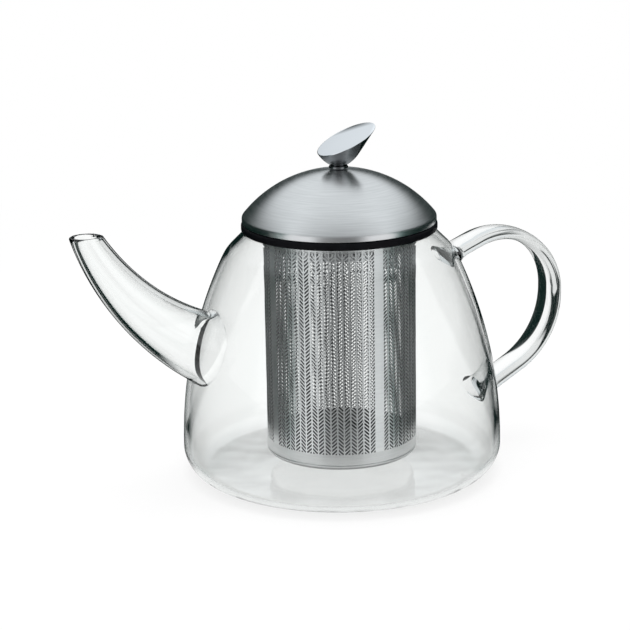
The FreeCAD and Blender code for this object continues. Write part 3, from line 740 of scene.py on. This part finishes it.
class TEAPOT_OT_blow_glass(Operator):
    """Make the pot, its spout and its handle as one welded piece of clear glass"""

    bl_idname = "teapot.blow_glass"
    bl_label = "Blow the Glass"

    def execute(self, context):
        glass = context.scene.teapot_glass
        spout_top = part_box("spout")[1].z
        outside = spout_skin(glass, 0)
        thicken_at_pot(outside, glass, glass.spout_flare)
        bore = spout_skin(glass, glass.spout_wall)
        thicken_at_pot(bore, glass, glass.spout_flare * 2, glass.wall)
        strap = handle_skin(glass)
        thicken_at_pot(strap, glass, glass.weld_spread)
        tools = [
            ("UNION", loose_object("spout_outside", cut_level(outside, spout_top))),
            ("UNION", loose_object("handle_strap", strap)),
            ("DIFFERENCE", loose_object("pot_inside", pot_skin(glass, glass.wall, glass.overrun))),
            ("DIFFERENCE", loose_object("spout_bore", bore)),
        ]
        mesh = join_glass(loose_object("pot_outside", pot_skin(glass, 0, 0)), tools)
        bmesh.ops.remove_doubles(mesh, verts=mesh.verts[:], dist=TOUCHING)
        round_rim(mesh, neck_centre(glass)[1] + glass.rim_rise, glass.wall)
        round_rim(mesh, spout_top, glass.spout_wall)
        for face in mesh.faces:
            middle = face.calc_center_median()
            gap = math.hypot(middle.x, middle.y) - pot_radius_at(glass, middle.z)
            face.material_index = 1 if gap > TOUCHING else 0
        blown = glass_finish("blown_glass", glass, glass.pot_edge, glass.pot_edge_tone)
        drawn = glass_finish("drawn_glass", glass, glass.tube_edge, glass.tube_edge_tone)
        piece = finish_piece("glass_pot", mesh, blown, "glass_pot",
                             ["glass_base", "glass_body", "spout", "handle"])
        piece.data.materials.append(drawn)
        return {"FINISHED"}


# The infuser


def slotted_sheet(infuser, pitch, low, high):
    """The sheet laid out flat, with slots that slant up and down by turns in the rows between two heights."""
    panels, columns, strip = infuser.panels, infuser.columns, infuser.strip
    rows = math.ceil((high - low + infuser.slant) / infuser.row_pitch)
    cell_height = infuser.slot_edge_side / infuser.slot_edge_height
    across = panels * (columns + 1)
    mesh = bmesh.new()
    spread = Matrix.Diagonal((across, rows * cell_height, 1, 1)) @ Matrix.Translation((0.5, 0.5, 0))
    bmesh.ops.create_grid(mesh, x_segments=across, y_segments=rows, size=0.5, matrix=spread)
    cells = [face for face in mesh.faces if int(face.calc_center_median().x) % (columns + 1) < columns]
    bmesh.ops.inset_individual(mesh, faces=cells, thickness=infuser.slot_edge_side, use_even_offset=True)
    for face in cells:
        face.material_index = 1
    for vert in mesh.verts:
        panel, column = divmod(vert.co.x + TOUCHING, columns + 1)
        wave = abs((column + 1) % 2 - 1) if column < columns else columns + 1 - column
        along = panel * (pitch * columns + strip)
        along += min(column, columns) * pitch + max(column - columns, 0) * strip
        height = low + vert.co.y / cell_height * infuser.row_pitch + (wave - 1) * infuser.slant
        vert.co = (along, height, 0)
    for height, beyond in ((low, -1), (high, 1)):
        cut_off(mesh, (0, height, 0), (0, beyond, 0))
    return mesh


def infuser_sleeve(infuser):
    """The slotted sheet, rolled up, with plain bands below and above the slots."""
    low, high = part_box("basket_sleeve")
    radius = high.x
    panel = FULL_TURN * radius / infuser.panels
    pitch = (panel - infuser.strip) / infuser.columns
    slots_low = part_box("basket_floor")[0].z + infuser.plain_band
    slots_high = high.z - infuser.top_band
    mesh = slotted_sheet(infuser, pitch, slots_low, slots_high)
    slots = [face for face in mesh.faces if face.material_index == 1]
    for level, end in ((slots_low, low.z), (slots_high, high.z)):
        edge = [item for item in mesh.edges if all(abs(vert.co.y - level) < TOUCHING for vert in item.verts)]
        push_ring(mesh, edge, (0, end - level, 0))
    bmesh.ops.delete(mesh, geom=slots, context="FACES")
    for face in mesh.faces:
        face.material_index = 0
    first = infuser.first_strip + infuser.strip / 2 / radius
    for vert in mesh.verts:
        turn = first + vert.co.x / radius
        vert.co = (radius * math.cos(turn), radius * math.sin(turn), vert.co.y)
    tidy_skin(mesh)
    bmesh.ops.solidify(mesh, geom=mesh.faces[:], thickness=infuser.slotted_sheet)
    return mesh


def infuser_floor(infuser):
    """The dished cap under the sleeve, with a spigot that goes into it."""
    low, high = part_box("basket_floor")
    spigot = high.x - infuser.sheet
    inside = spigot - infuser.sheet
    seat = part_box("basket_sleeve")[0].z
    edge = seat - infuser.seam
    bend = edge - low.z
    middle = high.x - bend
    line = Outline(0, low.z).line(middle, low.z).arc(middle, edge, -QUARTER_TURN, steps=8)
    line.arc(high.x - infuser.seam, edge, -QUARTER_TURN, steps=4)
    line.line(spigot, high.z).line(inside, high.z).line(inside, edge).arc(middle, edge, QUARTER_TURN, steps=8)
    line.line(0, edge - (inside - middle))
    return line.turned()


def infuser_collar(infuser):
    """The flange that hangs on the pot's rim, with a rounded edge."""
    low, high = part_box("basket_collar")
    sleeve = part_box("basket_sleeve")[1]
    inside = sleeve.x - infuser.sheet
    flange = high.z - sleeve.z
    half = flange / 2
    line = Outline(inside - flange, low.z).line(inside, low.z).line(inside, sleeve.z)
    line.line(high.x - half, sleeve.z).arc(high.x - half, sleeve.z + half, -math.pi, steps=6)
    line.line(inside - half, high.z).arc(inside - half, high.z - half, -QUARTER_TURN, steps=4)
    return line.close().turned()


class TEAPOT_OT_roll_infuser(Operator):
    """Make the infuser's perforated sleeve, its floor and its collar"""

    bl_idname = "teapot.roll_infuser"
    bl_label = "Roll the Infuser"

    def execute(self, context):
        infuser = context.scene.teapot_infuser
        steel = infuser_finish(infuser)
        plain = plain_steel_finish("collar_steel", infuser.steel, low=0.22, high=0.3)
        for name, mesh, finish, node in (
            ("infuser_sleeve", infuser_sleeve(infuser), steel, "basket_sleeve"),
            ("infuser_floor", infuser_floor(infuser), steel, "basket_floor"),
            ("infuser_collar", infuser_collar(infuser), plain, "basket_collar"),
        ):
            finish_piece(name, mesh, finish, "infuser", [node])
        return {"FINISHED"}


# The lid


def seal_ring(lid):
    """The silicone ring with its lip over the collar's edge."""
    low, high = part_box("lid_seal")
    end, top = low.z - lid.rim_drop, high.z - lid.rim_drop
    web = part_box("basket_collar")[1].z + lid.seat_gap
    bend = lid.seal_round
    lip = high.x - lid.seal_lip
    foot = lid.seal_foot
    line = Outline(lid.seal_hole, web).line(lip, web).line(lip, end)
    line.line(high.x - foot, end).arc(high.x - foot, end + foot, -QUARTER_TURN, steps=6)
    line.line(high.x, top - bend).arc(high.x - bend, top - bend, -QUARTER_TURN, steps=8)
    line.line(lid.seal_hole, top)
    return line.close().turned()


def dome_shell(lid):
    """The dome: a ball's cap with a turned-down edge, in thin sheet."""
    low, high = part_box("lid_dome")
    ball = lid.dome_ball
    sheet = lid.dome_sheet
    centre = high.z - ball
    bend = lid.dome_edge_round
    edge_x = high.x - bend
    rise = math.sqrt((ball - bend) ** 2 - edge_x ** 2)
    lean = math.atan2(edge_x, rise)
    edge = low.z - lid.rim_drop + sheet / 2
    line = Outline(0, high.z - sheet).arc(0, centre, lean, steps=60)
    line.arc(edge_x, centre + rise, QUARTER_TURN - lean, steps=8)
    line.line(high.x - sheet, edge).arc(high.x - sheet / 2, edge, -math.pi, steps=4)
    line.line(high.x, centre + rise).arc(edge_x, centre + rise, lean - QUARTER_TURN, steps=8)
    return line.arc(0, centre, -lean, steps=60).turned()


def knob_bead(lid):
    """The small bead between dome and knob."""
    low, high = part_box("knob_collar")
    edge = lid.bead_edge
    half = (high.z - low.z) / 2
    bulge = (half ** 2 + edge ** 2) / (2 * edge)
    half_turn = math.asin(half / bulge)
    line = Outline(0, low.z).line(high.x - edge, low.z)
    line.arc(high.x - bulge, low.z + half, -2 * half_turn, steps=12)
    return line.line(0, high.z).turned(steps=96)


def knob_cone(lid):
    """The knob: a bowl that runs into a cone, cut slanting, with a polished edge."""
    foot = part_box("knob")[0].z
    bowl_top = foot + lid.bowl_height
    chord = Vector((lid.bowl_width - lid.neck_radius, 0, lid.bowl_height))
    sag = math.sqrt(lid.bowl_radius ** 2 - (chord.length / 2) ** 2)
    across = Vector((-chord.z, 0, chord.x)).normalized()
    centre = Vector((lid.neck_radius, 0, foot)) + chord / 2 + across * sag
    blank = lid.knob_blank
    line = Outline(0, foot).line(lid.neck_radius, foot)
    line.arc(centre.x, centre.z, -2 * math.asin(chord.length / 2 / lid.bowl_radius), steps=16)
    line.line(lid.bowl_width + blank * math.tan(lid.knob_slope), bowl_top + blank)
    mesh = line.line(0, bowl_top + blank).turned(steps=128)
    slant = (-math.sin(lid.cut_angle), 0, math.cos(lid.cut_angle))
    rim = cut_off(mesh, (-lid.bowl_width, 0, foot + lid.cut_low_height), slant)
    bmesh.ops.edgeloop_fill(mesh, edges=rim)
    round_edges(mesh, rim, lid.knob_edge, segments=3)
    return tidy_skin(mesh)


class TEAPOT_OT_press_seal(Operator):
    """Make the silicone ring under the dome"""

    bl_idname = "teapot.press_seal"
    bl_label = "Press the Seal"

    def execute(self, context):
        lid = context.scene.teapot_lid
        rubber = silicone_finish(lid.silicone)
        finish_piece("seal_ring", seal_ring(lid), rubber, "lid_ring", ["lid_seal"])
        return {"FINISHED"}


class TEAPOT_OT_spin_lid(Operator):
    """Make the brushed dome and dress the skirt under it"""

    bl_idname = "teapot.spin_lid"
    bl_label = "Spin the Lid"

    def execute(self, context):
        lid = context.scene.teapot_lid
        finish_piece("dome_shell", dome_shell(lid), dome_finish(lid), "lid", ["lid_dome"])
        plain = plain_steel_finish("skirt_steel", lid.steel, low=0.24, high=0.34)
        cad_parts["lid_skirt"].data.materials[0] = plain
        return {"FINISHED"}


class TEAPOT_OT_turn_knob(Operator):
    """Make the knob and its bead and dress the screw and washer inside the dome"""

    bl_idname = "teapot.turn_knob"
    bl_label = "Turn the Knob"

    def execute(self, context):
        lid = context.scene.teapot_lid
        finish_piece("knob_cone", knob_cone(lid), chrome_finish(lid), "lid", ["knob"],
                     sharp_degrees=12.0)
        # painted shade: the bead is a darker copy of the chrome, for the shade under the knob
        dark = plain_steel_finish("bead_steel_shaded", shaded(lid.chrome, lid.bead_shade_tone), low=0.05, high=0.12)
        finish_piece("knob_bead", knob_bead(lid), dark, "lid", ["knob_collar"])
        bolt = plain_steel_finish("screw_steel", lid.steel, low=0.1, high=0.2)
        for node in ("knob_washer", "knob_screw"):
            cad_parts[node].data.materials[0] = bolt
        return {"FINISHED"}


# The stage


def aim_camera(stage):
    """Put the camera where the picture was taken from."""
    turn, rise = stage.azimuth, stage.elevation
    back = Vector((math.sin(turn) * math.cos(rise), -math.cos(turn) * math.cos(rise), math.sin(rise)))
    level = Vector((math.cos(turn), math.sin(turn), 0))
    upright = back.cross(level)
    right = level * math.cos(stage.roll) + upright * math.sin(stage.roll)
    up = upright * math.cos(stage.roll) - level * math.sin(stage.roll)
    camera = bpy.data.objects.new("camera", bpy.data.cameras.new("camera"))
    bpy.context.scene.collection.objects.link(camera)
    camera.data.lens = camera.data.sensor_width * stage.distance / stage.frame_width
    place = Matrix((right, up, back)).transposed().to_4x4()
    place.translation = Vector(stage.target) + back * stage.distance
    camera.matrix_world = place
    camera.data.clip_start = stage.nearest
    bpy.context.scene.camera = camera


def compass(tree, direction, turn):
    """How far a direction points towards a turn round the pot: 1 straight there, 0 the other way."""
    level = vector_calc(tree, "NORMALIZE", vector_calc(tree, "MULTIPLY", direction, (1, 1, 0)))
    there = vector_calc(tree, "DOT_PRODUCT", level, (math.cos(turn), math.sin(turn), 0))
    return calc(tree, "MULTIPLY_ADD", there, 0.5, 0.5)


def metal_view(tree, stage, behind):
    """What metal mirrors round the pot: a pale front and dark sides."""
    pale, dark = stage.pale_side, stage.dark_side
    return ramp(tree, behind, (0.0, shaded(pale, 0.26)), (0.03, shaded(pale, 0.3)), (0.08, pale), (0.27, pale),
                (0.34, shaded(dark, 10.0)), (0.42, shaded(dark, 2.0)), (0.6, dark))


def caught_view(tree, stage, rightwards, behind, middle):
    """What light caught in a wall of glass meets from left to right behind the pot; middle is the tone ahead."""
    white = grey(1)
    round_back = ramp(tree, rightwards, (0.28, white), (0.33, middle), (0.58, middle), (0.64, white),
                      (0.86, white), (0.92, stage.dark_side))
    return blend(tree, limit(tree, behind, stage.back_turn), white, round_back)


def one_wall(tree, path):
    """1 for light that has gone into one wall of glass and out of it, else 0."""
    return calc(tree, "COMPARE", path.outputs["Transmission Depth"], WALL_FACES, DEPTH_SLACK)


def reflected(tree, path):
    """1 for a ray that has met a mirror or been caught inside the glass, else 0."""
    return calc(tree, "MINIMUM", path.outputs["Glossy Depth"], 1.0)


def floor_lines(tree, stage, spot):
    """How far a spot on the floor is to the viewer's right and how far back, from the pot's axis."""
    right = stage.azimuth
    return (vector_calc(tree, "DOT_PRODUCT", spot, (math.cos(right), math.sin(right), 0)),
            vector_calc(tree, "DOT_PRODUCT", spot, (-math.sin(right), math.cos(right), 0)))


def mirrored_floor(tree, stage, path, spot):
    """What mirrors and caught light meet on the floor: white by the pot, and dark cards to the right and left."""
    white = grey(1)
    behind = compass(tree, spot, stage.azimuth + QUARTER_TURN)
    rightwards = compass(tree, spot, stage.azimuth)
    away = vector_calc(tree, "LENGTH", spot)
    near, far = (caught_view(tree, stage, rightwards, behind, middle) for middle in (white, stage.dark_side))
    caught = blend(tree, limit(tree, away, stage.white_end), near, far)
    aside, ahead = floor_lines(tree, stage, spot)
    right_card = calc(tree, "MULTIPLY", limit(tree, aside, stage.right_card),
                      limit(tree, ahead, stage.right_card_end))
    left_card = calc(tree, "MULTIPLY", limit(tree, aside, stage.left_card),
                     limit(tree, rightwards, stage.left_card_turn))
    caught = blend(tree, calc(tree, "MAXIMUM", right_card, left_card), caught, stage.dark_side)
    caught = blend(tree, limit(tree, away, stage.caught_start), white, caught)
    tone = blend(tree, one_wall(tree, path), metal_view(tree, stage, behind), caught)
    return blend(tree, limit(tree, away, stage.mirror_start), white, tone)


def bent_card(tree, stage, path, spot):
    """1 on a dark card to the right that shows only in the bend of the handle's glass, else 0."""
    aside, ahead = floor_lines(tree, stage, spot)
    over = calc(tree, "MULTIPLY_ADD", ahead, -stage.bent_card_lean, aside)
    return calc(tree, "MULTIPLY", limit(tree, over, stage.bent_card), one_wall(tree, path))


def lay_floor(stage):
    """Lay a white floor with a soft shadow and a painted contact shadow under the pot; mirrors and caught light
    meet dark cards on it.
    """
    mesh = bmesh.new()
    bmesh.ops.create_circle(mesh, cap_ends=True, segments=96, radius=stage.floor_radius,
                            matrix=Matrix.Translation((0, 0, -stage.floor_drop)))
    floor = loose_object("floor", mesh)
    material, tree, shader = new_material("pale_floor")
    feed(tree, shader, {"Base Color": grey(stage.floor_tone), "Roughness": 0.9})
    path = add_node(tree, "ShaderNodeLightPath")
    spot = coordinates(tree)
    card = bent_card(tree, stage, path, spot)
    away = vector_calc(tree, "LENGTH", spot)
    # painted shadow: the floor's glow is darker right under the pot
    under = blend(tree, limit(tree, away, stage.contact_end), grey(stage.contact_shadow_tone), grey(1))
    plain = blend(tree, card, under, stage.dark_side)
    mirrored = reflected(tree, path)
    tone = blend(tree, mirrored, plain, mirrored_floor(tree, stage, path, spot))
    light = add_node(tree, "ShaderNodeEmission", (tone,))
    seen = calc(tree, "MAXIMUM", path.outputs["Is Glossy Ray"], path.outputs["Is Transmission Ray"])
    seen = calc(tree, "MAXIMUM", seen, path.outputs["Is Camera Ray"])
    glow = calc(tree, "MULTIPLY", seen, change(tree, away, *stage.glow_reach, stage.floor_glow, 1.0))
    lit = calc(tree, "MAXIMUM", calc(tree, "MAXIMUM", card, mirrored), glow)
    mix = add_node(tree, "ShaderNodeMixShader", (lit, shader.outputs["BSDF"], light.outputs["Emission"]))
    tree.links.new(mix.outputs["Shader"], tree.nodes["Material Output"].inputs["Surface"])
    material.cycles.emission_sampling = "NONE"
    floor.data.materials.append(material)


def light_studio(stage):
    """White all round and overhead; what is reflected meets darker sides."""
    world = bpy.data.worlds.new("studio")
    bpy.context.scene.world = world
    world.use_nodes = True
    world.cycles.sampling_method = "NONE"
    tree = world.node_tree
    path = add_node(tree, "ShaderNodeLightPath")
    direction = coordinates(tree, "Generated")
    height = upward(tree, direction)
    behind = compass(tree, direction, stage.azimuth + QUARTER_TURN)
    rightwards = compass(tree, direction, stage.azimuth)
    flank = calc(tree, "MULTIPLY", behind, calc(tree, "SUBTRACT", 1.0, behind))
    lifted = calc(tree, "MULTIPLY_ADD", flank, -stage.ceiling_lift, height)
    overhead = limit(tree, lifted, stage.ceiling_start, interpolation_type="SMOOTHSTEP")
    caught = caught_view(tree, stage, rightwards, behind, stage.dark_side)
    caught = blend(tree, limit(tree, height, stage.horizon), caught, grey(1))
    around = blend(tree, one_wall(tree, path), metal_view(tree, stage, behind), caught)
    viewer = (math.sin(stage.azimuth), -math.cos(stage.azimuth), 0)
    front = limit(tree, vector_calc(tree, "DOT_PRODUCT", direction, viewer), stage.front_turn)
    ceiling = blend(tree, front, stage.ceiling, shaded(stage.ceiling, stage.front_tone))
    around = blend(tree, overhead, around, ceiling)
    tone = blend(tree, reflected(tree, path), grey(1), around)
    tone = blend(tree, path.outputs["Is Diffuse Ray"], tone, grey(stage.fill))
    feed(tree, tree.nodes["Background"], {"Color": tone})
    lamp = bpy.data.objects.new("overhead", bpy.data.lights.new("overhead", "AREA"))
    lamp.data.energy = stage.lamp_power
    lamp.data.size = stage.lamp_size
    lamp.location = (0, 0, stage.lamp_height)
    lamp.visible_glossy = False
    lamp.visible_transmission = False
    bpy.context.scene.collection.objects.link(lamp)


class TEAPOT_OT_set_stage(Operator):
    """Lay the floor, set the light and aim the camera"""

    bl_idname = "teapot.set_stage"
    bl_label = "Set the Stage"

    def execute(self, context):
        stage = context.scene.teapot_stage
        lay_floor(stage)
        light_studio(stage)
        aim_camera(stage)
        context.scene.view_settings.view_transform = "Standard"
        return {"FINISHED"}


class TEAPOT_PT_workshop(Panel):
    """The steps that build the teapot"""

    bl_label = "Glass Teapot"
    bl_space_type = "VIEW_3D"
    bl_region_type = "UI"
    bl_category = "Teapot"

    def draw(self, context):
        for step in STEPS:
            self.layout.operator(step.bl_idname)


STEPS = (
    TEAPOT_OT_blow_glass,
    TEAPOT_OT_roll_infuser,
    TEAPOT_OT_press_seal,
    TEAPOT_OT_spin_lid,
    TEAPOT_OT_turn_knob,
    TEAPOT_OT_set_stage,
)
SETTINGS = {
    "teapot_glass": GlassSizes,
    "teapot_infuser": InfuserSizes,
    "teapot_lid": LidSizes,
    "teapot_stage": StageSettings,
}
CLASSES = tuple(SETTINGS.values()) + STEPS + (TEAPOT_PT_workshop,)


def register():
    for item in CLASSES:
        bpy.utils.register_class(item)
    for name, group in SETTINGS.items():
        setattr(bpy.types.Scene, name, PointerProperty(type=group))


def unregister():
    for name in SETTINGS:
        delattr(bpy.types.Scene, name)
    for item in reversed(CLASSES):
        bpy.utils.unregister_class(item)


def main():
    register()
    bpy.ops.teapot.blow_glass()
    bpy.ops.teapot.roll_infuser()
    bpy.ops.teapot.press_seal()
    bpy.ops.teapot.spin_lid()
    bpy.ops.teapot.turn_knob()
    bpy.ops.teapot.set_stage()


if __name__ == "__main__":
    main()
